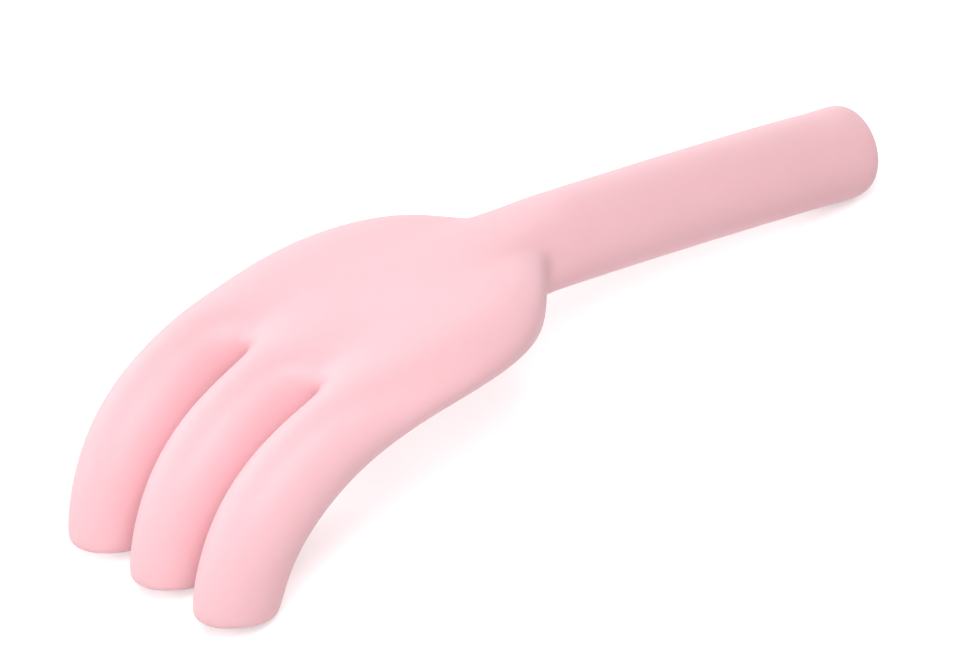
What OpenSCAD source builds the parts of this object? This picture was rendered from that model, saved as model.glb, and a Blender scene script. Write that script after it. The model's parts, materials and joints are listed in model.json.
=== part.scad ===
// Child's sand rake: a soft silicone body moulded over a stiff insert
//
// The handle runs along +X and the three tines curl down at -X. The rake stands as it rests on
// the ground, on the tips of its tines and the end of its handle, with the ground at z = 0.
// The form is drawn flat first: s runs along the rake from the tines to the handle's end,
// t runs across it and z is its height over the parting plane. It is then smoothed and curled.

/* [Handle] */
// Length from the palm's shoulders to the end of the handle
handle_len = 113; // [95:0.5:130]
// Width of the grip
handle_w = 25.6; // [21:0.2:28]
// Height of the grip
handle_h = 25; // [21:0.2:28]
// Rounding of the rim at the handle's end
end_round = 3.4; // [1:0.1:5]
// Depth of the dip in the top of the grip, just before the lip at its end
dip_depth = 1.4; // [0:0.1:2.5]
// Distance from the deepest point of the dip to the handle's end
dip_back = 8.7; // [7:0.1:12]
// Height of the neck's top over the parting plane, where it leaves the palm
neck_h = 11.2; // [9:0.1:12]
// Length of the ramp that climbs from the neck to the top of the grip
ramp_len = 13.4; // [8:0.2:16]

/* [Palm] */
// Length from the shoulders to the crotches between the tines
palm_len = 77.8; // [65:0.2:90]
// Width across the roots of the tines
front_w = 85.4; // [80:0.2:92]
// Width across the middle
mid_w = 86.4; // [80:0.2:92]
// Width across the shoulders
back_w = 69; // [60:0.5:76]
// Height of the flat top over the parting plane, at the front
front_h = 7.9; // [6.5:0.1:9]
// Height of the flat top over the parting plane, in the middle
mid_h = 8.4; // [6.5:0.1:9]
// Height of the flat top over the parting plane, at the shoulders
back_h = 8.3; // [6.5:0.1:9]
// How much deeper the underside is than the top
belly = 1.2; // [0.9:0.01:1.3]
// How far the shoulders stand out beside the neck
shoulder = 1.2; // [0.6:0.1:6]
// How far the shoulders' corners lie back from the neck
corner_back = 18; // [14:0.1:21]

/* [Tines] */
// Length of a tine along its curl, from the crotch to its tip
tine_len = 62; // [50:0.2:75]
// Distance between the tines at their roots
root_pitch = 29.4; // [28:0.1:31]
// Distance between the tines at their tips
tip_pitch = 26.2; // [26:0.1:30]
// Width of a tine at its root
root_w = 20.2; // [18:0.2:22]
// Width of a tine in its middle
tine_w = 22.4; // [20:0.2:23.4]
// Width of a tine before its tip
tip_w = 18; // [17:0.2:22]
// Height of a tine at its root
root_h = 22; // [20:0.2:25]
// Height of a tine in its middle
tine_h = 25; // [21:0.2:27]
// Height of a tine before its tip
tip_h = 25; // [19:0.2:27]
// Share of the width that is left on the tip's face
tip_face = 0.87; // [0.6:0.01:0.9]

/* [Curl] */
// Bend radius of the centre line at the tips
tip_bend = 95; // [57:1:190]
// Bend radius in the middle of the tines
tine_bend = 40.5; // [34:0.5:60]
// Bend radius at the roots of the tines
root_bend = 63; // [52:0.5:95]
// Bend radius at the palm's front
front_bend = 133; // [95:1:190]
// Bend radius at the palm's middle
mid_bend = 249; // [143:1:570]
// Bend radius at the palm's back
back_bend = 477; // [143:1:570]
// Bend radius at the neck
neck_bend = 249; // [190:10:6000]
// Bend radius of the handle
grip_bend = 2865; // [950:10:20000]

/* [Insert] */
// Thickness of the silicone around the insert
skin = 3.6; // [3:0.1:4.5]
// How far the insert's prongs reach into the tines
prong_len = 36; // [25:1:42]
// Silicone beyond the insert at the end of the handle
end_skin = 9; // [7:0.5:16]
// Clearance between the insert and the silicone
insert_gap = 0.1; // [0.05:0.01:0.2]

/* [Hidden] */

silicone_pink = [0.965, 0.765, 0.79];
insert_white = [0.9, 0.89, 0.87];

// Steps between the sections that the smoothing blends:
// from a crotch to the root sections of the tines
root_step = 2;
// from a crotch's deepest point to its upper and lower points
web_step = 3;
// from the crotches to the palm's front section
front_step = 14;
// from the palm's back section to its back edge
tail_step = 9.7;
// from the palm's back edge to the shoulders
back_step = 1.3;
// from the palm's back edge to the sides of the neck
neck_step = 6;
// from the palm's back edge to the neck's own section
ramp_step = 7;
// between the sections that end the ramp and the dip
end_step = 3;
// How far the neck's flat top lies below the sections beside it
neck_sink = 2.7;
// How far the sides of the neck stand over its flat top
neck_side = 1.6;
// How far the shoulders' points spread
flare = 1;
// How far the shoulders' corners are drawn in
corner_in = 3;

// Stations along the rake; the shoulders lie at s = 0
crotch_s = -palm_len;
root_s = crotch_s - root_step;
tip_s = crotch_s - tine_len;
back_s = -back_step;

// ---- Sections ----

// A smooth ring lies inside its n control points; this is the ratio of their radii
function cage(n) = 3 / (2 + cos(360 / n));

// Six control points of a tine's section
function tine_ring(s, t, w, h) =
    [for (a = [180 : -60 : -120]) [s, t + cage(6) * w / 2 * cos(a), cage(6) * h / 2 * sin(a)]];

// Ten control points of the grip's section, its top lowered by drop and its top's sides by side
function grip_ring(s, w, h, drop = 0, side = 0) =
    [for (a = [180 : -36 : -144])
        let (low = a > 60 && a < 120 ? drop : a > 0 && a < 180 ? side : 0)
        [s, cage(10) * w / 2 * cos(a), cage(10) * h / 2 * sin(a) - low]];

// Eighteen control points of the palm's section, from the near edge over the top and back
// below: half-widths w, heights h and set-backs d are given from the edge to the middle
function palm_ring(s, w, h, d) =
    let (
        edge = [for (i = [0 : 4]) [s + d[i], w[i], h[i]]],
        top = concat(
            [for (p = edge) [p[0], -p[1], p[2]]],
            [for (i = [4 : -1 : 0]) edge[i]]
        )
    )
    concat(top, [for (i = [8 : -1 : 1]) [top[i][0], top[i][1], -belly * top[i][2]]]);

// Control half-width that brings the smooth edge of the palm to half-width w
function edge_w(w, inner) = (w - 0.4 / 3 * inner) / (1 - 0.4 / 3);

// Half-widths of the palm's control points from the edge to the middle
function palm_cols(w, cols) = [w, cols[0] + 0.6 * (w - cols[0]), cols[0], cols[1], cols[2]];

// Value of a tine's size at share f of its length, from its tip to its root
function along(f, tip, middle, root) = lookup(f, [[0, tip_face * tip], [0.05, tip], [0.5, middle], [1, root]]);

// ---- Control points of the whole rake, all surfaces set in by inset ----
// The sides of the slots through the palm stand in by squeeze

tine_shares = [0, 0.05, 0.3, 0.55, 0.8, 1];
tine_rings = len(tine_shares);
palm_rings = 3;
grip_rings = 9;

function cage_points(inset, squeeze, tine_tip, grip_end) =
    let (
        trim = 2 * inset,
        web_s = crotch_s + inset,
        back = back_s - inset,
        tines = [for (i = [-1 : 1], f = tine_shares)
            let (s = tine_tip + f * (root_s - tine_tip), g = (s - tip_s) / (root_s - tip_s))
            tine_ring(
                s,
                i * lookup(g, [[0, tip_pitch], [1, root_pitch]]),
                (f == 0 ? tip_face : 1) * (along(max(g, 0.05), tip_w, tine_w, root_w) - trim),
                (f == 0 ? tip_face : 1) * (along(max(g, 0.05), tip_h, tine_h, root_h) - trim)
            )],
        // Columns of the palm: beside the outer tines, between the tines and beside the middle one
        cols = [
            root_pitch - 0.3 * root_w + squeeze,
            root_pitch / 2 - squeeze,
            0.3 * root_w + squeeze
        ],
        grip_r = cage(10) * (handle_w / 2 - inset),
        neck_cols = [handle_w / 2 + shoulder - inset, grip_r * cos(36), grip_r * cos(72)],
        front = front_h - inset,
        middle = mid_h - inset,
        rear = back_h - inset,
        corner = back_w / 2 - inset,
        first = crotch_s + front_step,
        last = back - tail_step,
        neck_top = neck_h - neck_sink - inset,
        palm = concat(
            palm_ring(first + squeeze, palm_cols(edge_w(front_w / 2, cols[0]) - inset, cols),
                [0, front, front, front, front], [0, 0, 0, 0, 0]),
            palm_ring(
                (first + last) / 2 - squeeze,
                palm_cols(edge_w(mid_w / 2, cols[0]) - inset, cols),
                [0, middle, middle, middle, middle], [0, 0, 0, 0, 0]
            ),
            palm_ring(last, concat([corner], palm_cols(corner + corner_in, neck_cols)[1], neck_cols),
                [0, rear, rear, neck_top + neck_side, neck_top],
                [back_step + tail_step - corner_back, 0, flare, 2 * flare, 2 * flare])
        ),
        webs = [for (t = [-1, 1] * root_pitch / 2)
            each [
                [web_s, t, 0],
                [web_s + web_step, t, 0.8 * front],
                [web_s + web_step, t, -0.8 * front]
            ]],
        shoulders = [
            [back + flare, -neck_cols[0] - flare, 0], [back + flare, neck_cols[0] + flare, 0],
            [back + neck_step, inset - handle_w / 2, 0], [back + neck_step, handle_w / 2 - inset, 0]
        ],
        w = handle_w - trim,
        h = handle_h - trim,
        dip = grip_end - dip_back,
        drop = dip_depth,
        rise = handle_h / 2 - neck_h,
        round = min(end_round, w / 4),
        grip = concat(
            grip_ring(back + ramp_step, w, h, rise),
            grip_ring(ramp_len - end_step, w, h, rise / 4),
            grip_ring(ramp_len, w, h),
            grip_ring(handle_len * 0.4, w, h),
            grip_ring(handle_len * 0.65, w, h, drop / 4, drop / 8),
            grip_ring(dip, w, h, drop, drop / 2),
            grip_ring(dip + end_step, w, h),
            grip_ring(grip_end - round, w, h),
            grip_ring(grip_end, w - 1.6 * round, h - 1.6 * round)
        )
    )
    concat([for (ring = tines) each ring], palm, webs, shoulders, grip);

// ---- Faces of the cage, by the numbers of its control points ----

palm_0 = 3 * tine_rings * 6;
web_0 = palm_0 + palm_rings * 18;
shoulder_0 = web_0 + 6;
grip_0 = shoulder_0 + 4;

// Corner j of ring k of tine i
function tine_pt(i, k, j) = (i * tine_rings + k) * 6 + (j + 6) % 6;
// Corner j of palm ring k
function palm_pt(k, j) = palm_0 + k * 18 + (j + 18) % 18;
// Crotch j: its deepest point, its upper and its lower point
function web_pt(j, q) = web_0 + j * 3 + q;
// Corner j of grip ring k; ring 0 is the neck, shared with the palm
function grip_pt(k, j) =
    k > 0 ? grip_0 + (k - 1) * 10 + j % 10
    : let (n = palm_rings - 1)
        [shoulder_0 + 2, palm_pt(n, 3), palm_pt(n, 4), palm_pt(n, 5), palm_pt(n, 6),
         shoulder_0 + 3, palm_pt(n, 12), palm_pt(n, 13), palm_pt(n, 14), palm_pt(n, 15)][j % 10];

// The front edge of the palm follows the roots of the tines and the crotches between them
root_ring = let (n = tine_rings - 1) [
    tine_pt(0, n, 0), tine_pt(0, n, 1), tine_pt(0, n, 2), web_pt(0, 1),
    tine_pt(1, n, 1), tine_pt(1, n, 2), web_pt(1, 1),
    tine_pt(2, n, 1), tine_pt(2, n, 2), tine_pt(2, n, 3), tine_pt(2, n, 4), tine_pt(2, n, 5),
    web_pt(1, 2), tine_pt(1, n, 4), tine_pt(1, n, 5), web_pt(0, 2),
    tine_pt(0, n, 4), tine_pt(0, n, 5)
];

// Columns of the palm that have a slot through them in the insert
slots = [3, 5];

// The palm's faces between rings k and k + 1, with slots through the listed columns
function palm_faces(k, open) = [for (j = [0 : 17])
    let (is_open = len([for (c = open) if (j == c || j == 17 - c) c]) > 0)
    if (!is_open) [palm_pt(k, j), palm_pt(k, j + 1), palm_pt(k + 1, j + 1), palm_pt(k + 1, j)]];

// The four walls of a slot between rings k and k + 1, from the top to the underside
function slot_walls(k, j) =
    let (
        top = [palm_pt(k, j), palm_pt(k, j + 1), palm_pt(k + 1, j + 1), palm_pt(k + 1, j)],
        low = [palm_pt(k, 18 - j), palm_pt(k, 17 - j), palm_pt(k + 1, 17 - j), palm_pt(k + 1, 18 - j)]
    )
    [for (q = [0 : 3]) [top[q], top[(q + 1) % 4], low[(q + 1) % 4], low[q]]];

function cage_faces(open) = let (n = tine_rings - 1, p = palm_rings - 1) concat(
    // Faces of the tips, then the sides of the tines
    [for (i = [0 : 2]) [for (j = [5 : -1 : 0]) tine_pt(i, 0, j)]],
    [for (i = [0 : 2], k = [0 : n - 1], j = [0 : 5])
        [tine_pt(i, k, j), tine_pt(i, k, j + 1), tine_pt(i, k + 1, j + 1), tine_pt(i, k + 1, j)]],
    // Palm
    [for (j = [0 : 17]) [root_ring[j], root_ring[(j + 1) % 18], palm_pt(0, j + 1), palm_pt(0, j)]],
    palm_faces(0, open),
    [for (j = open) each slot_walls(0, j)],
    palm_faces(1, []),
    // Walls of the two crotches
    [for (i = [0, 1]) each [
        [tine_pt(i, n, 2), tine_pt(i, n, 3), web_pt(i, 0), web_pt(i, 1)],
        [web_pt(i, 1), web_pt(i, 0), tine_pt(i + 1, n, 0), tine_pt(i + 1, n, 1)],
        [tine_pt(i, n, 3), tine_pt(i, n, 4), web_pt(i, 2), web_pt(i, 0)],
        [web_pt(i, 0), web_pt(i, 2), tine_pt(i + 1, n, 5), tine_pt(i + 1, n, 0)]
    ]],
    // Shoulders, near and far
    [
        [palm_pt(p, 0), palm_pt(p, 1), palm_pt(p, 2), shoulder_0],
        [shoulder_0, palm_pt(p, 2), palm_pt(p, 3), shoulder_0 + 2],
        [palm_pt(p, 17), palm_pt(p, 0), shoulder_0, palm_pt(p, 16)],
        [palm_pt(p, 16), shoulder_0, shoulder_0 + 2, palm_pt(p, 15)],
        [palm_pt(p, 8), palm_pt(p, 9), shoulder_0 + 1, palm_pt(p, 7)],
        [palm_pt(p, 7), shoulder_0 + 1, shoulder_0 + 3, palm_pt(p, 6)],
        [palm_pt(p, 9), palm_pt(p, 10), palm_pt(p, 11), shoulder_0 + 1],
        [shoulder_0 + 1, palm_pt(p, 11), palm_pt(p, 12), shoulder_0 + 3]
    ],
    // Grip and its end
    [for (k = [0 : grip_rings - 1], j = [0 : 9])
        [grip_pt(k, j), grip_pt(k, j + 1), grip_pt(k + 1, j + 1), grip_pt(k + 1, j)]],
    [[for (j = [0 : 9]) grip_pt(grip_rings, j)]]
);

// ---- Smoothing: each round splits every face and rounds the cage (Catmull and Clark) ----

function total(list) = [for (x = list) 1] * list;

// Running totals of a list of counts, starting at 0
function starts(counts) = [for (i = 0, sum = 0; i < len(counts); sum = sum + counts[i], i = i + 1) sum];

function smooth(form) =
    let (
        pts = form[0],
        faces = form[1],
        nv = len(pts),
        nf = len(faces),
        // Every side of every face: its two corners and its face
        sides = [for (f = [0 : nf - 1]) let (n = len(faces[f])) for (q = [0 : n - 1])
            [faces[f][q], faces[f][(q + 1) % n], f]],
        first = starts([for (f = faces) len(f)]),
        one_way = [for (e = sides) if (e[0] < e[1]) e],
        other_way = [for (e = sides) if (e[0] > e[1]) e],
        keys = [for (e = one_way) e[0] * nv + e[1]],
        twin = search(keys, [for (e = other_way) e[1] * nv + e[0]]),
        edge = search([for (e = sides) min(e[0], e[1]) * nv + max(e[0], e[1])], keys),
        leaving = search([for (v = [0 : nv - 1]) v], [for (e = sides) e[0]], 0),
        face_pts = [for (f = faces) total([for (v = f) pts[v]]) / len(f)],
        edge_pts = [for (i = [0 : len(keys) - 1])
            let (e = one_way[i], o = other_way[twin[i]])
            (pts[e[0]] + pts[e[1]] + face_pts[e[2]] + face_pts[o[2]]) / 4],
        corner_pts = [for (v = [0 : nv - 1])
            let (
                out = leaving[v],
                n = len(out),
                around = total([for (i = out) face_pts[sides[i][2]] + pts[v] + pts[sides[i][1]]])
            )
            around / (n * n) + pts[v] * (n - 3) / n],
        new_faces = [for (f = [0 : nf - 1]) let (n = len(faces[f])) for (q = [0 : n - 1])
            [faces[f][q], nv + nf + edge[first[f] + q], nv + f,
             nv + nf + edge[first[f] + (q + n - 1) % n]]]
    )
    [concat(corner_pts, face_pts, edge_pts), new_faces];

// ---- Curl: the flat form is bent along a centre line whose bend changes along the rake ----

// Bends (one over the radius) at stations along the rake
bends = [
    [tip_s, 1 / tip_bend],
    [root_s + 0.6 * (tip_s - root_s), 1 / tine_bend],
    [root_s + 0.25 * (tip_s - root_s), 1 / root_bend],
    [0.9 * crotch_s, 1 / front_bend],
    [0.5 * crotch_s, 1 / mid_bend],
    [0.15 * crotch_s, 1 / back_bend],
    [0, 1 / neck_bend],
    [0.18 * handle_len, 1 / grip_bend],
    [handle_len, 1 / grip_bend]
];

// Steps of ds along the centre line from [s, x, z, angle]
function walk(s, x, z, a, ds, n) =
    n == 0 ? [[s, x, z, a]]
    : let (b = a - lookup(s + ds / 2, bends) * ds * 180 / PI)
        concat(
            [[s, x, z, a]],
            walk(s + ds, x + ds * cos((a + b) / 2), z + ds * sin((a + b) / 2), b, ds, n - 1)
        );

// The line has 150 steps on either side of the shoulders and runs a little past both ends
line = concat(
    walk(0, 0, 0, 0, tip_s / 145, 150),
    walk(0, 0, 0, 0, handle_len / 145, 150)
);
line_x = [for (p = line) [p[0], p[1]]];
line_z = [for (p = line) [p[0], p[2]]];
line_a = [for (p = line) [p[0], p[3]]];

function curl(p) =
    let (a = lookup(p[0], line_a))
    [lookup(p[0], line_x) - p[2] * sin(a), p[1], lookup(p[0], line_z) + p[2] * cos(a)];

// ---- Resting place: the rake is tipped until tines and handle both touch the ground ----

function tip_up(p, a) = [p[0] * cos(a) + p[2] * sin(a), p[1], p[2] * cos(a) - p[0] * sin(a)];
function height(p, a) = p[2] * cos(a) - p[0] * sin(a);

// The lowest point of a list when it is tipped by a
function lowest(pts, a) =
    let (h = [for (p = pts) height(p, a)])
    pts[search([min(h)], h)[0]];

function rest_angle(tines, grip, a, n) =
    n == 0 ? a
    : let (p = lowest(tines, a), q = lowest(grip, a))
        rest_angle(tines, grip, atan2(q[2] - p[2], q[0] - p[0]), n - 1);

body_form = smooth(smooth([cage_points(0, 0, tip_s, handle_len), cage_faces([])]));
body_curled = [for (p = body_form[0]) curl(p)];
lean = rest_angle(
    [for (p = body_curled) if (p[0] < -palm_len / 2) p],
    [for (p = body_curled) if (p[0] > handle_len / 2) p],
    0, 6
);
body_tipped = [for (p = body_curled) tip_up(p, lean)];
centre_x = (max([for (p = body_tipped) p[0]]) + min([for (p = body_tipped) p[0]])) / 2;
ground_z = min([for (p = body_tipped) p[2]]);

function place(p) = tip_up(curl(p), lean) - [centre_x, 0, ground_z];

module form(f) {
    polyhedron([for (p = f[0]) place(p)], [for (q = f[1]) each [[q[0], q[1], q[2]], [q[0], q[2], q[3]]]]);
}

// ---- Insert ----

// The insert's form, its surfaces grown by grow and its slots narrowed to suit
module insert_form(grow) {
    form(smooth([
        cage_points(
            skin - grow, 1.5 * grow, root_s - prong_len - grow, handle_len - end_skin + grow
        ),
        cage_faces(slots)
    ]));
}

// ---- Parts ----

module silicone_body() {
    color(silicone_pink)
    difference() {
        form(body_form);
        insert_form(insert_gap);
    }
}

module stiff_core() {
    color(insert_white)
    insert_form(0);
}

silicone_body();
stiff_core();
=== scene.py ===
"""Dresses the sand rake in moulded silicone and sets it in a plain white studio."""

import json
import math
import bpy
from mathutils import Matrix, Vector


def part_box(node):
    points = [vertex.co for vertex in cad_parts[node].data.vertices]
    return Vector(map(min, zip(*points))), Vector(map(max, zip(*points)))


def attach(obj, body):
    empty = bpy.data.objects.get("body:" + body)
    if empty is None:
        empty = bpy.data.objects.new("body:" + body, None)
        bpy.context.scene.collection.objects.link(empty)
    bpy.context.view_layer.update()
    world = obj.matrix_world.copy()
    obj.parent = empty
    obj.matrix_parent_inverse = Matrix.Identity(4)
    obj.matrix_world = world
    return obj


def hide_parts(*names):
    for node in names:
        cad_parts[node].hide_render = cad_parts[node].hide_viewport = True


bl_info = {
    "name": "Sand Rake",
    "version": (1, 0, 0),
    "blender": (4, 5, 0),
    "location": "View3D > Sidebar > Sand Rake",
    "description": "Builds the moulded silicone body of a child's sand rake and its studio",
    "category": "Object",
}

from functools import partial

import bpy
import numpy as np
from bpy.props import FloatProperty, FloatVectorProperty, IntProperty, PointerProperty
from mathutils import Matrix, Vector

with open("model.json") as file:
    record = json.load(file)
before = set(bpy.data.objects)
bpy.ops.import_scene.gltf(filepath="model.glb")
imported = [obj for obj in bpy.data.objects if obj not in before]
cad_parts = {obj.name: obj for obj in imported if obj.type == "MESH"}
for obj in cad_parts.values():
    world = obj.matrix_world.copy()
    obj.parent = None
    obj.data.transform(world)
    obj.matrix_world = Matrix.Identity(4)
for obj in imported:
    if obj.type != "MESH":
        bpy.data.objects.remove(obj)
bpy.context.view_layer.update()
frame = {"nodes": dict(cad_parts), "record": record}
MM = 0.001


def slot_colour(name):
    """Base colour of one of the record's material slots."""
    for slot in frame["record"]["materials"]:
        if slot["slot"] == name:
            return tuple(slot["base_color"][:3])
    raise ValueError("the record has no material slot " + name)


def from_srgb(colour):
    """A colour as it is seen, turned into the linear values that shaders take."""
    return tuple(c / 12.92 if c <= 0.04045 else ((c + 0.055) / 1.055) ** 2.4 for c in colour)


# ---- Settings ----


def length(name, description, default):
    """A size in millimetres, kept in metres."""
    return FloatProperty(
        name=name, description=description, default=default * MM, min=0.0,
        unit="LENGTH", precision=4,
    )


def ratio(name, description, default):
    """A plain number, or a share of something."""
    return FloatProperty(name=name, description=description, default=default, min=0.0)


def bearing(name, description, degrees):
    """An angle given in degrees, kept in radians."""
    return FloatProperty(
        name=name, description=description, default=math.radians(degrees), subtype="ANGLE",
    )


def watts(name, description, default):
    """Power of a light."""
    return FloatProperty(
        name=name, description=description, default=default, min=0.0, unit="POWER",
    )


class RakeForm(bpy.types.PropertyGroup):
    """Sizes of the moulded body, as in its solid but for the neck's edges and the lip"""

    handle_len: length("Handle length", "From the palm's shoulders to the end", 113)
    handle_w: length("Grip width", "Width of the grip", 25.6)
    handle_h: length("Grip height", "Height of the grip", 25)
    end_round: length("End rounding", "Rounding of the rim at the handle's end", 3.4)
    dip_depth: length("Dip depth", "Depth of the dip before the lip at the end", 1.4)
    dip_back: length("Dip distance", "From the dip to the handle's end", 8.7)
    neck_h: length("Neck height", "Height of the neck's top over the parting plane", 11.2)
    ramp_len: length("Ramp length", "Length of the ramp up to the top of the grip", 13.4)
    palm_len: length("Palm length", "From the shoulders to the crotches", 77.8)
    front_w: length("Front width", "Width across the roots of the tines", 85.4)
    mid_w: length("Middle width", "Width across the palm's middle", 86.4)
    back_w: length("Shoulder width", "Width across the shoulders", 69)
    front_h: length("Front height", "Height of the flat top at the front", 7.9)
    mid_h: length("Middle height", "Height of the flat top in the middle", 8.4)
    back_h: length("Back height", "Height of the flat top at the shoulders", 8.3)
    belly: ratio("Belly", "Depth of the underside over the top's", 1.2)
    shoulder: length("Shoulder", "How far the shoulders stand out beside the neck", 1.2)
    corner_back: length("Corner", "How far the shoulders' corners lie back", 18)
    tine_len: length("Tine length", "From the crotch to the tip along the curl", 62)
    root_pitch: length("Root pitch", "Distance between the tines at their roots", 29.4)
    tip_pitch: length("Tip pitch", "Distance between the tines at their tips", 26.2)
    root_w: length("Root width", "Width of a tine at its root", 20.2)
    tine_w: length("Tine width", "Width of a tine in its middle", 22.4)
    tip_w: length("Tip width", "Width of a tine before its tip", 18)
    root_h: length("Root height", "Height of a tine at its root", 22)
    tine_h: length("Tine height", "Height of a tine in its middle", 25)
    tip_h: length("Tip height", "Height of a tine before its tip", 25)
    tip_face: ratio("Tip face", "Share of the width left on a tip", 0.87)
    tip_bend: length("Tip bend", "Bend radius at the tips", 95)
    tine_bend: length("Tine bend", "Bend radius in the middle of the tines", 40.5)
    root_bend: length("Root bend", "Bend radius at the roots of the tines", 63)
    front_bend: length("Front bend", "Bend radius at the palm's front", 133)
    mid_bend: length("Middle bend", "Bend radius at the palm's middle", 249)
    back_bend: length("Back bend", "Bend radius at the palm's back", 477)
    neck_bend: length("Neck bend", "Bend radius at the neck", 249)
    grip_bend: length("Grip bend", "Bend radius of the handle", 2865)
    neck_foot_h: length("Neck foot", "Height of the palm beside the neck's edges", 9.1)
    neck_side_h: length("Neck edges", "Height of the neck's edges where it leaves the palm", 9.0)
    neck_top_h: length("Neck middle", "Height of the neck's middle where it leaves the palm", 9.8)
    saddle_h: length("Saddle", "Height of the deepest points between shoulders and neck", 4)
    ramp_fall: length("Ramp fall", "How far the ramp lies under the top of the grip", 1.4)
    ramp_square: length("Ramp edges", "How far the ramp's edges stand out of the round", 1.4)
    lip_back: length("Lip distance", "From the crease before the lip to the end", 11)
    lip_dip: length("Lip dip", "Depth of the crease before the lip", 0.38)
    levels: IntProperty(
        name="Smoothing", description="Rounds of smoothing", default=4, min=2, max=5,
    )


class RakeFinish(bpy.types.PropertyGroup):
    """Colours and surfaces of the rake"""

    silicone: FloatVectorProperty(
        name="Silicone", description="Colour of the silicone", subtype="COLOR_GAMMA", size=3,
        default=(0.94, 0.747, 0.774), min=0.0, max=1.0,
    )
    insert: FloatVectorProperty(
        name="Insert", description="Colour of the insert's plastic", subtype="COLOR_GAMMA", size=3,
        default=slot_colour("insert"), min=0.0, max=1.0,
    )
    silicone_roughness: FloatProperty(
        name="Roughness", description="Roughness of the silicone", subtype="FACTOR",
        default=0.5, min=0.0, max=1.0,
    )
    scatter: length("Scatter", "How far red light travels in the silicone", 2)


class RakeStudio(bpy.types.PropertyGroup):
    """Camera, floor and lights"""

    azimuth: bearing("Azimuth", "Camera's angle round the rake", -33.04)
    elevation: bearing("Elevation", "Camera's angle over the floor", 32.67)
    roll: bearing("Roll", "Camera's tilt to the side", -11.1)
    distance: FloatProperty(
        name="Distance", description="From the camera to its aim", default=2.186, unit="LENGTH",
    )
    aim: FloatVectorProperty(
        name="Aim", description="Point that the camera looks at",
        default=(-0.0033, -0.00045, 0.0216), subtype="TRANSLATION",
    )
    lens: ratio("Lens", "Focal length in millimetres", 312.6)
    front_power: watts("Front", "Light over the camera", 15.6)
    left_power: watts("Left", "Low light at the left", 4.7)
    back_power: watts("Back", "Low light behind the rake", 5.7)
    corner_power: watts("Corner", "Low light behind the rake at the right", 3.1)
    right_power: watts("Right", "Low light at the right", 3.6)
    world_strength: ratio("Surroundings", "Strength of plain light from all round", 0.0)


# ---- Form of the moulded body, drawn flat and then curled ----

# Places of a tine's rings, as shares of the way from its tip to its root
TIP_SHARE = 0.05
TINE_SHARES = (0, TIP_SHARE, 0.3, 0.55, 0.8, 1)

# Rings of the cage, and the number of each part's first point
TINE_RINGS = len(TINE_SHARES)
PALM_RINGS = 3
PALM_START = 3 * TINE_RINGS * 6
WEB_START = PALM_START + PALM_RINGS * 18
SHOULDER_START = WEB_START + 6
GRIP_START = SHOULDER_START + 4

# Steps between the sections that the smoothing blends, the same as those of the solid
ROOT_STEP = 2 * MM
WEB_STEP = 3 * MM
FRONT_STEP = 14 * MM
TAIL_STEP = 9.7 * MM
BACK_STEP = 1.3 * MM
NECK_STEP = 6 * MM
RAMP_STEP = 7 * MM
END_STEP = 3 * MM
NECK_SINK = 2.7 * MM
NECK_SIDE = 1.6 * MM
FLARE = 1 * MM
CORNER_IN = 3 * MM

# Shares of a size at which control points lie, the same as those of the solid
ROOT_INNER = 0.3
EDGE_SHARE = 0.6
WEB_SHARE = 0.8
RIM_PULL = 1.6

# Steps of the finer grip that the smoothing turns into its creases and rim
CREASE = 1.5 * MM
END_PULL = 0.5 * MM

LINE_STEP = 0.5 * MM  # step along the centre line
LINE_SPARE = 3 * MM  # length that it goes on for beyond both ends
LEAN_ROUNDS = 6  # rounds of tipping that bring tines and handle to the ground
SOLID_LEVELS = 2  # rounds of smoothing that the solid has


def between(x, table):
    """Value of a table of (x, value) pairs at x, on straight lines between them."""
    return float(np.interp(x, [row[0] for row in table], [row[1] for row in table]))


def cage(n):
    """How far n control points lie outside the smooth ring that they make, as a ratio."""
    return 3 / (2 + math.cos(math.tau / n))


def tine_ring(s, t, w, h):
    """Six control points of a tine's section."""
    angles = [math.radians(a) for a in range(180, -180, -60)]
    return [(s, t + cage(6) * w / 2 * math.cos(a), cage(6) * h / 2 * math.sin(a)) for a in angles]


def grip_ring(s, w, h, drop=0.0, side=0.0):
    """Ten control points of the grip's section.

    The two on top are lowered by drop, and the one on either side of them by side.
    """
    ring = []
    for degrees in range(180, -180, -36):
        a = math.radians(degrees)
        low = drop if 60 < degrees < 120 else side if 0 < degrees < 180 else 0.0
        ring.append((s, cage(10) * w / 2 * math.cos(a), cage(10) * h / 2 * math.sin(a) - low))
    return ring


def palm_ring(s, belly, widths, heights, backs, depths=None):
    """Eighteen control points of the palm's section, over the top and back below.

    The underside lies at its depths times the belly, or at the heights where none are given.
    """
    edge = [(s + d, w, h) for d, w, h in zip(backs, widths, heights)]
    top = [(x, -y, z) for x, y, z in edge] + edge[::-1]
    depths = [*(depths or heights), *reversed(depths or heights)]
    return top + [(top[j][0], top[j][1], -belly * depths[j]) for j in range(8, 0, -1)]


def palm_cols(w, cols):
    """Half-widths of the palm's control points from the edge to the middle."""
    return [w, cols[0] + EDGE_SHARE * (w - cols[0]), *cols]


def edge_w(w, inner):
    """Control half-width that brings the smooth edge of the palm to half-width w."""
    pull = (1 - EDGE_SHARE) / 3
    return (w - pull * inner) / (1 - pull)


def rim_round(f):
    """Rounding of the rim at the handle's end, no more than a quarter of the grip."""
    return min(f.end_round, f.handle_w / 4)


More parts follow.
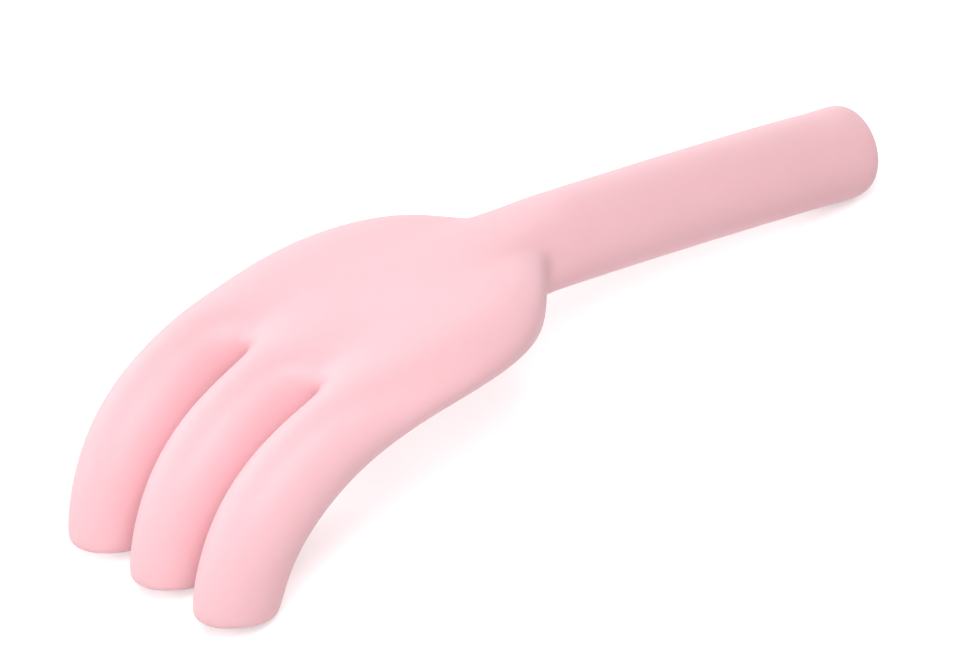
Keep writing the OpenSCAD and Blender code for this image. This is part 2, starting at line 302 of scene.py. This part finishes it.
def plain_grip(f):
    """Rings of the solid's grip from the neck to the end, as grip_ring takes them."""
    w, h, end, drop = f.handle_w, f.handle_h, f.handle_len, f.dip_depth
    rise = h / 2 - f.neck_h
    rim = rim_round(f)
    return [
        (RAMP_STEP - BACK_STEP, w, h, rise, 0.0),
        (f.ramp_len - END_STEP, w, h, rise / 4, 0.0),
        (f.ramp_len, w, h, 0.0, 0.0),
        (end * 0.4, w, h, 0.0, 0.0),
        (end * 0.65, w, h, drop / 4, drop / 8),
        (end - f.dip_back, w, h, drop, drop / 2),
        (end - f.dip_back + END_STEP, w, h, 0.0, 0.0),
        (end - rim, w, h, 0.0, 0.0),
        (end, w - RIM_PULL * rim, h - RIM_PULL * rim, 0.0, 0.0),
    ]


def plain_neck(f):
    """Heights of the solid's neck from its foot to its middle, where it leaves the palm."""
    top = f.neck_h - NECK_SINK
    return [f.back_h, top + NECK_SIDE, top]


def fine_grip(f):
    """Rings of the seen grip, with the crease at its ramp's end and the one before its lip."""
    w, h, end = f.handle_w, f.handle_h, f.handle_len
    rim = rim_round(f)
    lip = end - f.lip_back
    return [
        (RAMP_STEP - BACK_STEP, w, h, f.ramp_fall, -f.ramp_square),
        (f.ramp_len - CREASE, w, h, 0.3 * f.ramp_fall, -0.6 * f.ramp_square),
        (f.ramp_len, w, h, 0.0, 0.0),
        (f.ramp_len + 2 * CREASE, w, h, 0.0, 0.0),
        (end * 0.4, w, h, 0.0, 0.0),
        (end * 0.7, w, h, 0.0, 0.0),
        (lip - 6 * CREASE, w, h, 0.3 * f.lip_dip, 0.1 * f.lip_dip),
        (lip - CREASE, w, h, 0.9 * f.lip_dip, 0.2 * f.lip_dip),
        (lip, w, h, f.lip_dip, 0.2 * f.lip_dip),
        (lip + CREASE, w, h, 0.4 * f.lip_dip, 0.2 * f.lip_dip),
        (lip + 3 * CREASE, w, h, 0.1 * f.lip_dip, 0.9 * f.lip_dip),
        (end - rim, w, h, 0.0, 0.0),
        (end - 0.3 * rim, w - 0.5 * rim, h - 0.5 * rim, 0.0, 0.0),
        (end - END_PULL, w - RIM_PULL * rim, h - RIM_PULL * rim, 0.0, 0.0),
    ]


def tine_points(f):
    """Control points of the three tines, from their tips to their roots."""
    root_s = -f.palm_len - ROOT_STEP
    tip_s = -f.palm_len - f.tine_len
    points = []
    for i in (-1, 0, 1):
        for share in TINE_SHARES:
            face = f.tip_face if share == 0 else 1.0
            g = max(share, TIP_SHARE)
            pitch = between(share, ((0, f.tip_pitch), (1, f.root_pitch)))
            w = between(g, ((TIP_SHARE, f.tip_w), (0.5, f.tine_w), (1, f.root_w)))
            h = between(g, ((TIP_SHARE, f.tip_h), (0.5, f.tine_h), (1, f.root_h)))
            s = tip_s + share * (root_s - tip_s)
            points += tine_ring(s, i * pitch, face * w, face * h)
    return points


def tine_cols(f):
    """Half-widths of the palm's columns that run on into the tines."""
    return [f.root_pitch - ROOT_INNER * f.root_w, f.root_pitch / 2, ROOT_INNER * f.root_w]


def neck_cols(f):
    """Half-widths of the palm's columns that run on into the neck."""
    grip_r = cage(10) * f.handle_w / 2
    return [
        f.handle_w / 2 + f.shoulder,
        grip_r * math.cos(math.radians(36)),
        grip_r * math.cos(math.radians(72)),
    ]


def palm_points(f, neck):
    """Control points of the palm's rings at the front, in the middle and at the neck."""
    cols = tine_cols(f)
    first, last = FRONT_STEP - f.palm_len, -BACK_STEP - TAIL_STEP
    rings = ((first, f.front_w, f.front_h), ((first + last) / 2, f.mid_w, f.mid_h))
    points = []
    for s, w, h in rings:
        widths = palm_cols(edge_w(w / 2, cols[0]), cols)
        points += palm_ring(s, f.belly, widths, [0] + [h] * 4, [0.0] * 5)
    corner, cols = f.back_w / 2, neck_cols(f)
    return points + palm_ring(
        last, f.belly, [corner, palm_cols(corner + CORNER_IN, cols)[1], *cols],
        [0, f.back_h, *neck],
        [BACK_STEP + TAIL_STEP - f.corner_back, 0, FLARE, 2 * FLARE, 2 * FLARE],
        [0, f.back_h, *plain_neck(f)],
    )


def crotch_points(f):
    """Control points of the two crotches."""
    s, h = -f.palm_len, WEB_SHARE * f.front_h
    points = []
    for t in (-f.root_pitch / 2, f.root_pitch / 2):
        points += [(s, t, 0.0), (s + WEB_STEP, t, h), (s + WEB_STEP, t, -h)]
    return points


def shoulder_points(f, saddle):
    """Control points between the shoulders and the neck, at the height saddle."""
    out = neck_cols(f)[0] + FLARE
    return [
        (FLARE - BACK_STEP, -out, saddle),
        (FLARE - BACK_STEP, out, saddle),
        (NECK_STEP - BACK_STEP, -f.handle_w / 2, saddle),
        (NECK_STEP - BACK_STEP, f.handle_w / 2, saddle),
    ]


def body_cage_points(f, grip, neck, saddle):
    """Control points of the body in its flat form (s along it, t across, z up)."""
    points = tine_points(f) + palm_points(f, neck) + crotch_points(f) + shoulder_points(f, saddle)
    for ring in grip:
        points += grip_ring(*ring)
    return points


def tine_pt(i, k, j):
    """Number of corner j of ring k of tine i."""
    return (i * TINE_RINGS + k) * 6 + j % 6


def palm_pt(k, j):
    """Number of corner j of palm ring k."""
    return PALM_START + k * 18 + j % 18


def web_pt(i, q):
    """Number of crotch i's deepest, upper or lower point."""
    return WEB_START + i * 3 + q


def grip_pt(k, j):
    """Number of corner j of grip ring k; ring 0 is the neck, shared with the palm."""
    if k > 0:
        return GRIP_START + (k - 1) * 10 + j % 10
    n = PALM_RINGS - 1
    neck = [
        SHOULDER_START + 2, *[palm_pt(n, c) for c in (3, 4, 5, 6)],
        SHOULDER_START + 3, *[palm_pt(n, c) for c in (12, 13, 14, 15)],
    ]
    return neck[j % 10]


def tube(point, rings, corners):
    """Faces between the rings that point(ring, corner) numbers."""
    return [
        [point(k, j), point(k, j + 1), point(k + 1, j + 1), point(k + 1, j)]
        for k in range(rings) for j in range(corners)
    ]


def body_cage_faces(grip_rings):
    """Faces of the body's cage, by the numbers of its control points."""
    n, p = TINE_RINGS - 1, PALM_RINGS - 1
    faces = [[tine_pt(i, 0, j) for j in range(5, -1, -1)] for i in range(3)]
    for i in range(3):
        faces += tube(partial(tine_pt, i), n, 6)
    root = [
        tine_pt(0, n, 0), tine_pt(0, n, 1), tine_pt(0, n, 2), web_pt(0, 1),
        tine_pt(1, n, 1), tine_pt(1, n, 2), web_pt(1, 1),
        tine_pt(2, n, 1), tine_pt(2, n, 2), tine_pt(2, n, 3), tine_pt(2, n, 4), tine_pt(2, n, 5),
        web_pt(1, 2), tine_pt(1, n, 4), tine_pt(1, n, 5), web_pt(0, 2),
        tine_pt(0, n, 4), tine_pt(0, n, 5),
    ]
    for j in range(18):
        faces.append([root[j], root[(j + 1) % 18], palm_pt(0, j + 1), palm_pt(0, j)])
    faces += tube(palm_pt, p, 18)
    for i in (0, 1):
        faces += [
            [tine_pt(i, n, 2), tine_pt(i, n, 3), web_pt(i, 0), web_pt(i, 1)],
            [web_pt(i, 1), web_pt(i, 0), tine_pt(i + 1, n, 0), tine_pt(i + 1, n, 1)],
            [tine_pt(i, n, 3), tine_pt(i, n, 4), web_pt(i, 2), web_pt(i, 0)],
            [web_pt(i, 0), web_pt(i, 2), tine_pt(i + 1, n, 5), tine_pt(i + 1, n, 0)],
        ]
    near, far, near_neck, far_neck = range(SHOULDER_START, SHOULDER_START + 4)
    faces += [
        [palm_pt(p, 0), palm_pt(p, 1), palm_pt(p, 2), near],
        [near, palm_pt(p, 2), palm_pt(p, 3), near_neck],
        [palm_pt(p, 17), palm_pt(p, 0), near, palm_pt(p, 16)],
        [palm_pt(p, 16), near, near_neck, palm_pt(p, 15)],
        [palm_pt(p, 8), palm_pt(p, 9), far, palm_pt(p, 7)],
        [palm_pt(p, 7), far, far_neck, palm_pt(p, 6)],
        [palm_pt(p, 9), palm_pt(p, 10), palm_pt(p, 11), far],
        [far, palm_pt(p, 11), palm_pt(p, 12), far_neck],
    ]
    faces += tube(grip_pt, grip_rings, 10)
    faces.append([grip_pt(grip_rings, j) for j in range(10)])
    # So far the corners run clockwise as seen from outside, as in the solid's source
    return [face[::-1] for face in faces]


def centre_line(f):
    """Places and angles along the curled centre line, step by step."""
    root_s = -f.palm_len - ROOT_STEP
    tip_s = -f.palm_len - f.tine_len
    bends = [
        (tip_s, f.tip_bend), (root_s + 0.6 * (tip_s - root_s), f.tine_bend),
        (root_s + 0.25 * (tip_s - root_s), f.root_bend), (-0.9 * f.palm_len, f.front_bend),
        (-0.5 * f.palm_len, f.mid_bend), (-0.15 * f.palm_len, f.back_bend), (0.0, f.neck_bend),
        (0.18 * f.handle_len, f.grip_bend), (f.handle_len, f.grip_bend),
    ]
    s = np.arange(tip_s - LINE_SPARE, f.handle_len + LINE_SPARE, LINE_STEP)
    rate = -np.interp(s, [place for place, _ in bends], [1 / radius for _, radius in bends])
    angle = np.concatenate([[0], np.cumsum((rate[1:] + rate[:-1]) / 2 * LINE_STEP)])
    angle -= np.interp(0, s, angle)
    mean = (angle[1:] + angle[:-1]) / 2
    x = np.concatenate([[0], np.cumsum(np.cos(mean) * LINE_STEP)])
    z = np.concatenate([[0], np.cumsum(np.sin(mean) * LINE_STEP)])
    return s, x - np.interp(0, s, x), z - np.interp(0, s, z), angle


def curled(points, f):
    """The flat form's points, bent along the centre line."""
    s, x, z, angle = centre_line(f)
    a = np.interp(points[:, 0], s, angle)
    return np.stack([
        np.interp(points[:, 0], s, x) - points[:, 2] * np.sin(a),
        points[:, 1],
        np.interp(points[:, 0], s, z) + points[:, 2] * np.cos(a),
    ], axis=1)


def tipped(points, lean):
    """Points turned about the rake's cross axis."""
    c, s = math.cos(lean), math.sin(lean)
    return points @ np.array([[c, 0, -s], [0, 1, 0], [s, 0, c]])


def resting_place(points, f):
    """Lean at which tines and handle both touch the ground, and the centre of the footprint."""
    tines = points[points[:, 0] < -f.palm_len / 2]
    grip = points[points[:, 0] > f.handle_len / 2]
    lean = 0.0
    for _ in range(LEAN_ROUNDS):
        height = np.array([-math.sin(lean), 0, math.cos(lean)])
        p, q = tines[np.argmin(tines @ height)], grip[np.argmin(grip @ height)]
        lean = math.atan2(q[2] - p[2], q[0] - p[0])
    points = tipped(points, lean)
    low, high = points.min(axis=0), points.max(axis=0)
    return lean, np.array([(low[0] + high[0]) / 2, 0, low[2]])


def smooth_cage(name, points, faces, levels, at_limit):
    """A mesh made by smoothing a cage of control points; at_limit takes the points to the end."""
    draft = bpy.data.meshes.new(name + "_cage")
    draft.from_pydata(points, [], faces)
    obj = bpy.data.objects.new(name + "_cage", draft)
    bpy.context.scene.collection.objects.link(obj)
    smoothing = obj.modifiers.new("Smoothing", "SUBSURF")
    smoothing.levels = levels
    smoothing.render_levels = levels
    smoothing.use_limit_surface = at_limit
    graph = bpy.context.evaluated_depsgraph_get()
    mesh = bpy.data.meshes.new_from_object(obj.evaluated_get(graph))
    mesh.name = name
    bpy.data.objects.remove(obj)
    bpy.data.meshes.remove(draft)
    return mesh


def body_mesh(name, form, grip, neck, saddle, levels):
    """The flat body with the given grip and neck; more levels than the solid's reach the limit."""
    points = body_cage_points(form, grip, neck, saddle)
    return smooth_cage(name, points, body_cage_faces(len(grip)), levels, levels > SOLID_LEVELS)


def mesh_points(mesh):
    """The points of a mesh as rows of an array."""
    flat = np.empty(len(mesh.vertices) * 3)
    mesh.vertices.foreach_get("co", flat)
    return flat.reshape(-1, 3)


def fitted(points, low, high):
    """Points squeezed along each axis until they just lie inside a box."""
    first, last = points.min(axis=0), points.max(axis=0)
    low, high = np.array(low), np.array(high)
    scale = np.minimum(1.0, (high - low) / (last - first))
    start = np.clip(first, low, high - (last - first) * scale)
    return start + (points - first) * scale


# ---- Finishes ----

NOISE_SPAN = (0.3, 0.7)  # where nearly all values of the noise lie


def add_node(tree, kind, x, y, **values):
    """A new node at a place in its tree, with values for its input sockets by name."""
    node = tree.nodes.new(kind)
    node.location = (x, y)
    for name, value in values.items():
        node.inputs[name.replace("_", " ")].default_value = value
    return node


def new_group(name, inputs, outputs):
    """An empty node group with named sockets, given as (name, socket type, default)."""
    group = bpy.data.node_groups.new(name, "ShaderNodeTree")
    for label, kind, default in inputs:
        socket = group.interface.new_socket(label, in_out="INPUT", socket_type=kind)
        if default is not None:
            socket.default_value = default
    for label, kind in outputs:
        group.interface.new_socket(label, in_out="OUTPUT", socket_type=kind)
    return group


def map_range(tree, x, y, low, high, to_low, to_high):
    """A node that maps low..high to to_low..to_high."""
    return add_node(
        tree, "ShaderNodeMapRange", x, y,
        From_Min=low, From_Max=high, To_Min=to_low, To_Max=to_high,
    )


def mottle_group():
    """A colour that drifts a little lighter and darker, as pigment does in a moulding."""
    group = new_group(
        "Pigment drift",
        [("Colour", "NodeSocketColor", (1, 1, 1, 1)), ("Size", "NodeSocketFloat", 40.0),
         ("Amount", "NodeSocketFloat", 0.03)],
        [("Colour", "NodeSocketColor")],
    )
    source = add_node(group, "NodeGroupInput", -800, 0)
    place = add_node(group, "ShaderNodeTexCoord", -800, -250)
    noise = add_node(group, "ShaderNodeTexNoise", -560, -150, Detail=3.0, Roughness=0.55)
    spread = map_range(group, -340, -150, *NOISE_SPAN, -0.5, 0.5)
    scaled = add_node(group, "ShaderNodeMath", -160, -150)
    scaled.operation = "MULTIPLY"
    value = add_node(group, "ShaderNodeMath", 20, -150)
    value.operation = "ADD"
    value.inputs[1].default_value = 1.0
    tint = add_node(group, "ShaderNodeHueSaturation", 200, 0)
    result = add_node(group, "NodeGroupOutput", 420, 0)
    link = group.links.new
    link(place.outputs["Object"], noise.inputs["Vector"])
    link(source.outputs["Size"], noise.inputs["Scale"])
    link(noise.outputs["Fac"], spread.inputs["Value"])
    link(spread.outputs["Result"], scaled.inputs[0])
    link(source.outputs["Amount"], scaled.inputs[1])
    link(scaled.outputs[0], value.inputs[0])
    link(value.outputs[0], tint.inputs["Value"])
    link(source.outputs["Colour"], tint.inputs["Color"])
    link(tint.outputs["Color"], result.inputs["Colour"])
    return group


def grain_group():
    """Height of the fine texture that a blasted mould leaves, with faint broad unevenness."""
    group = new_group(
        "Mould texture",
        [("Grain size", "NodeSocketFloat", 2500.0), ("Wave size", "NodeSocketFloat", 90.0),
         ("Wave share", "NodeSocketFloat", 0.5)],
        [("Height", "NodeSocketFloat"), ("Patches", "NodeSocketFloat")],
    )
    source = add_node(group, "NodeGroupInput", -700, 0)
    place = add_node(group, "ShaderNodeTexCoord", -700, -250)
    grain = add_node(group, "ShaderNodeTexNoise", -440, 120, Detail=2.0, Roughness=0.6)
    wave = add_node(group, "ShaderNodeTexNoise", -440, -180, Detail=2.0, Roughness=0.5)
    both = add_node(group, "ShaderNodeMath", -160, 0)
    both.operation = "MULTIPLY_ADD"
    result = add_node(group, "NodeGroupOutput", 80, 0)
    link = group.links.new
    link(place.outputs["Object"], grain.inputs["Vector"])
    link(place.outputs["Object"], wave.inputs["Vector"])
    link(source.outputs["Grain size"], grain.inputs["Scale"])
    link(source.outputs["Wave size"], wave.inputs["Scale"])
    link(wave.outputs["Fac"], both.inputs[0])
    link(source.outputs["Wave share"], both.inputs[1])
    link(grain.outputs["Fac"], both.inputs[2])
    link(both.outputs[0], result.inputs["Height"])
    link(wave.outputs["Fac"], result.inputs["Patches"])
    return group


def shared_group(name, maker):
    """A node group that is made once and then used again."""
    return bpy.data.node_groups.get(name) or maker()


def moulded_material(name, colour, drift, grain, roughness, bump):
    """A material with pigment drift and mould texture, and its shader.

    It takes the drift's size and amount, the size of the grain and the size and share of its
    waves, the least and most roughness, and the bump's strength and depth.
    """
    material = bpy.data.materials.new(name)
    material.use_nodes = True
    tree = material.node_tree
    tree.nodes.clear()
    link = tree.links.new
    tint = add_node(tree, "ShaderNodeGroup", -500, 200)
    tint.node_tree = shared_group("Pigment drift", mottle_group)
    tint.inputs["Colour"].default_value = (*from_srgb(colour), 1.0)
    tint.inputs["Size"].default_value, tint.inputs["Amount"].default_value = drift
    texture = add_node(tree, "ShaderNodeGroup", -500, -150)
    texture.node_tree = shared_group("Mould texture", grain_group)
    for socket, value in zip(("Grain size", "Wave size", "Wave share"), grain):
        texture.inputs[socket].default_value = value
    gloss = map_range(tree, -260, 0, *NOISE_SPAN, *roughness)
    height = add_node(tree, "ShaderNodeBump", -260, -250, Strength=bump[0], Distance=bump[1])
    shader = add_node(tree, "ShaderNodeBsdfPrincipled", 0, 100)
    output = add_node(tree, "ShaderNodeOutputMaterial", 320, 100)
    link(tint.outputs["Colour"], shader.inputs["Base Color"])
    link(texture.outputs["Patches"], gloss.inputs["Value"])
    link(gloss.outputs["Result"], shader.inputs["Roughness"])
    link(texture.outputs["Height"], height.inputs["Height"])
    link(height.outputs["Normal"], shader.inputs["Normal"])
    link(shader.outputs["BSDF"], output.inputs["Surface"])
    return material, shader


def silicone_material(finish):
    """Matt silicone that light enters a little."""
    r = finish.silicone_roughness
    material, shader = moulded_material(
        "soft_silicone", tuple(finish.silicone), drift=(28.0, 0.03), grain=(2600.0, 110.0, 0.6),
        roughness=(r - 0.03, r + 0.04), bump=(0.12, 0.08 * MM),
    )
    shader.inputs["IOR"].default_value = 1.42
    shader.inputs["Subsurface Weight"].default_value = 0.4
    shader.inputs["Subsurface Radius"].default_value = (1.0, 0.4, 0.35)
    shader.inputs["Subsurface Scale"].default_value = finish.scatter
    return material


def insert_material(finish):
    """Natural polypropylene with the fine texture of its mould."""
    material, shader = moulded_material(
        "insert_plastic", tuple(finish.insert), drift=(60.0, 0.04), grain=(1800.0, 60.0, 0.4),
        roughness=(0.38, 0.5), bump=(0.2, 0.1 * MM),
    )
    shader.inputs["IOR"].default_value = 1.49
    shader.inputs["Subsurface Weight"].default_value = 0.1
    shader.inputs["Subsurface Scale"].default_value = 1 * MM
    return material


# ---- Operators ----

LIGHT_SIZE = 0.8
LIGHT_DISTANCE = 1.2
LIGHT_AIM = (0, 0, 0.02)

# Name of each light, its angles round the rake and over the floor in degrees, and its setting
LIGHTS = (
    ("front_light", -33, 52, "front_power"),
    ("left_light", -125, 22, "left_power"),
    ("back_light", -170, 22, "back_power"),
    ("corner_light", 145, 22, "corner_power"),
    ("right_light", 100, 22, "right_power"),
)

FLOOR_HALF = 4.0
FLOOR_GAP = 0.2 * MM
FLOOR_GREY = 0.8
FLOOR_LIFT = 0.45  # added where the camera sees the floor, which makes it white but for shadows


class RAKE_OT_silicone_body(bpy.types.Operator):
    """Mould the soft body with its tines, palm and grip"""

    bl_idname = "rake.silicone_body"
    bl_label = "Silicone body"

    def execute(self, context):
        form = context.scene.rake_form
        coarse = body_mesh(
            "coarse_body", form, plain_grip(form), plain_neck(form), 0.0, SOLID_LEVELS,
        )
        lean, centre = resting_place(curled(mesh_points(coarse), form), form)
        bpy.data.meshes.remove(coarse)
        neck = (form.neck_foot_h, form.neck_side_h, form.neck_top_h)
        mesh = body_mesh("moulded_body", form, fine_grip(form), neck, form.saddle_h, form.levels)
        points = tipped(curled(mesh_points(mesh), form), lean) - centre
        points = fitted(points, *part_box("silicone_body"))
        mesh.vertices.foreach_set("co", points.ravel())
        mesh.polygons.foreach_set("use_smooth", [True] * len(mesh.polygons))
        mesh.update()
        body = bpy.data.objects.new("moulded_body", mesh)
        context.scene.collection.objects.link(body)
        mesh.materials.append(silicone_material(context.scene.rake_finish))
        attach(body, "root")
        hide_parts("silicone_body")
        return {"FINISHED"}


class RAKE_OT_insert(bpy.types.Operator):
    """Finish the stiff insert inside the body"""

    bl_idname = "rake.insert"
    bl_label = "Insert"

    def execute(self, context):
        core = frame["nodes"]["stiff_core"]
        core.data.materials.clear()
        core.data.materials.append(insert_material(context.scene.rake_finish))
        return {"FINISHED"}


def direction(azimuth, elevation):
    """Unit vector from the rake, by the angle round it from the near side and over the floor."""
    flat = math.cos(elevation)
    return Vector((math.sin(azimuth) * flat, -math.cos(azimuth) * flat, math.sin(elevation)))


def area_light(name, azimuth, elevation, power):
    """A square soft light that looks at the rake; its angles are in degrees."""
    toward = direction(math.radians(azimuth), math.radians(elevation))
    data = bpy.data.lights.new(name, "AREA")
    data.size = LIGHT_SIZE
    data.energy = power
    light = bpy.data.objects.new(name, data)
    light.location = Vector(LIGHT_AIM) + toward * LIGHT_DISTANCE
    light.rotation_euler = (-toward).to_track_quat("-Z", "Y").to_euler()
    bpy.context.scene.collection.objects.link(light)


def seen_directly(tree, path):
    """1 for rays that the camera sees, straight or through a gloss or clear surface."""
    total = path.outputs["Is Camera Ray"]
    for k, kind in enumerate(("Is Glossy Ray", "Is Transmission Ray")):
        either = add_node(tree, "ShaderNodeMath", -360 + 120 * k, 320)
        either.operation = "MAXIMUM"
        tree.links.new(total, either.inputs[0])
        tree.links.new(path.outputs[kind], either.inputs[1])
        total = either.outputs[0]
    return total


class RAKE_OT_studio(bpy.types.Operator):
    """Set up the camera, the floor and the lights"""

    bl_idname = "rake.studio"
    bl_label = "Studio"

    def execute(self, context):
        scene = context.scene
        studio = scene.rake_studio
        self.camera(scene, studio)
        self.floor(scene)
        self.surroundings(scene, studio)
        for name, azimuth, elevation, setting in LIGHTS:
            area_light(name, azimuth, elevation, getattr(studio, setting))
        scene.view_settings.view_transform = "Standard"
        return {"FINISHED"}

    def camera(self, scene, studio):
        """Places the camera at its azimuth, elevation and roll about the aim."""
        back = direction(studio.azimuth, studio.elevation)
        side = Vector((0, 0, 1)).cross(back).normalized()
        up = back.cross(side)
        c, s = math.cos(studio.roll), math.sin(studio.roll)
        side, up = c * side + s * up, c * up - s * side
        data = bpy.data.cameras.new("camera")
        data.lens = studio.lens
        data.sensor_width = 36.0
        data.clip_end = 20.0
        cam = bpy.data.objects.new("camera", data)
        turn = Matrix((side, up, back)).transposed().to_4x4()
        place = Vector(studio.aim) + back * studio.distance
        cam.matrix_world = Matrix.Translation(place) @ turn
        scene.collection.objects.link(cam)
        scene.camera = cam

    def floor(self, scene):
        """A broad pale floor that still takes the rake's soft shadow."""
        corners = [(-1, -1), (1, -1), (1, 1), (-1, 1)]
        mesh = bpy.data.meshes.new("floor")
        points = [(FLOOR_HALF * x, FLOOR_HALF * y, 0) for x, y in corners]
        mesh.from_pydata(points, [], [(0, 1, 2, 3)])
        floor = bpy.data.objects.new("floor", mesh)
        floor.location.z = -FLOOR_GAP
        scene.collection.objects.link(floor)
        material = bpy.data.materials.new("white_floor")
        material.use_nodes = True
        tree = material.node_tree
        tree.nodes.clear()
        path = add_node(tree, "ShaderNodeLightPath", -500, 200)
        lift = add_node(tree, "ShaderNodeEmission", -250, 0, Strength=FLOOR_LIFT)
        none = add_node(tree, "ShaderNodeEmission", -250, 120, Strength=0.0)
        seen = add_node(tree, "ShaderNodeMixShader", 0, 100)
        matt = add_node(tree, "ShaderNodeBsdfDiffuse", 0, -100)
        matt.inputs["Color"].default_value = (FLOOR_GREY, FLOOR_GREY, FLOOR_GREY, 1)
        both = add_node(tree, "ShaderNodeAddShader", 220, 0)
        output = add_node(tree, "ShaderNodeOutputMaterial", 420, 0)
        link = tree.links.new
        link(seen_directly(tree, path), seen.inputs[0])
        link(none.outputs[0], seen.inputs[1])
        link(lift.outputs[0], seen.inputs[2])
        link(seen.outputs[0], both.inputs[0])
        link(matt.outputs[0], both.inputs[1])
        link(both.outputs[0], output.inputs["Surface"])
        mesh.materials.append(material)

    def surroundings(self, scene, studio):
        """A room that is white to the camera and in reflections, and lights the rake as set."""
        world = bpy.data.worlds.new("white_room")
        world.use_nodes = True
        scene.world = world
        tree = world.node_tree
        tree.nodes.clear()
        path = add_node(tree, "ShaderNodeLightPath", -500, 200)
        room = add_node(tree, "ShaderNodeBackground", -200, 0, Strength=studio.world_strength)
        white = add_node(tree, "ShaderNodeBackground", -200, -150, Strength=1.0)
        for node in (room, white):
            node.inputs["Color"].default_value = (1, 1, 1, 1)
        mix = add_node(tree, "ShaderNodeMixShader", 60, 0)
        output = add_node(tree, "ShaderNodeOutputWorld", 260, 0)
        link = tree.links.new
        link(seen_directly(tree, path), mix.inputs[0])
        link(room.outputs[0], mix.inputs[1])
        link(white.outputs[0], mix.inputs[2])
        link(mix.outputs[0], output.inputs["Surface"])


class RAKE_PT_panel(bpy.types.Panel):
    """The rake's pieces and its studio"""

    bl_idname = "RAKE_PT_panel"
    bl_label = "Sand Rake"
    bl_space_type = "VIEW_3D"
    bl_region_type = "UI"
    bl_category = "Sand Rake"

    def draw(self, context):
        column = self.layout.column()
        for kind in (RAKE_OT_silicone_body, RAKE_OT_insert, RAKE_OT_studio):
            column.operator(kind.bl_idname)
        scene = context.scene
        for group in (scene.rake_form, scene.rake_finish, scene.rake_studio):
            box = column.box()
            for name in group.__annotations__:
                box.prop(group, name)


CLASSES = (
    RakeForm, RakeFinish, RakeStudio,
    RAKE_OT_silicone_body, RAKE_OT_insert, RAKE_OT_studio, RAKE_PT_panel,
)


def register():
    for cls in CLASSES:
        bpy.utils.register_class(cls)
    bpy.types.Scene.rake_form = PointerProperty(type=RakeForm)
    bpy.types.Scene.rake_finish = PointerProperty(type=RakeFinish)
    bpy.types.Scene.rake_studio = PointerProperty(type=RakeStudio)


def unregister():
    del bpy.types.Scene.rake_studio
    del bpy.types.Scene.rake_finish
    del bpy.types.Scene.rake_form
    for cls in reversed(CLASSES):
        bpy.utils.unregister_class(cls)


def main():
    register()
    bpy.ops.rake.silicone_body()
    bpy.ops.rake.insert()
    bpy.ops.rake.studio()


if __name__ == "__main__":
    main()
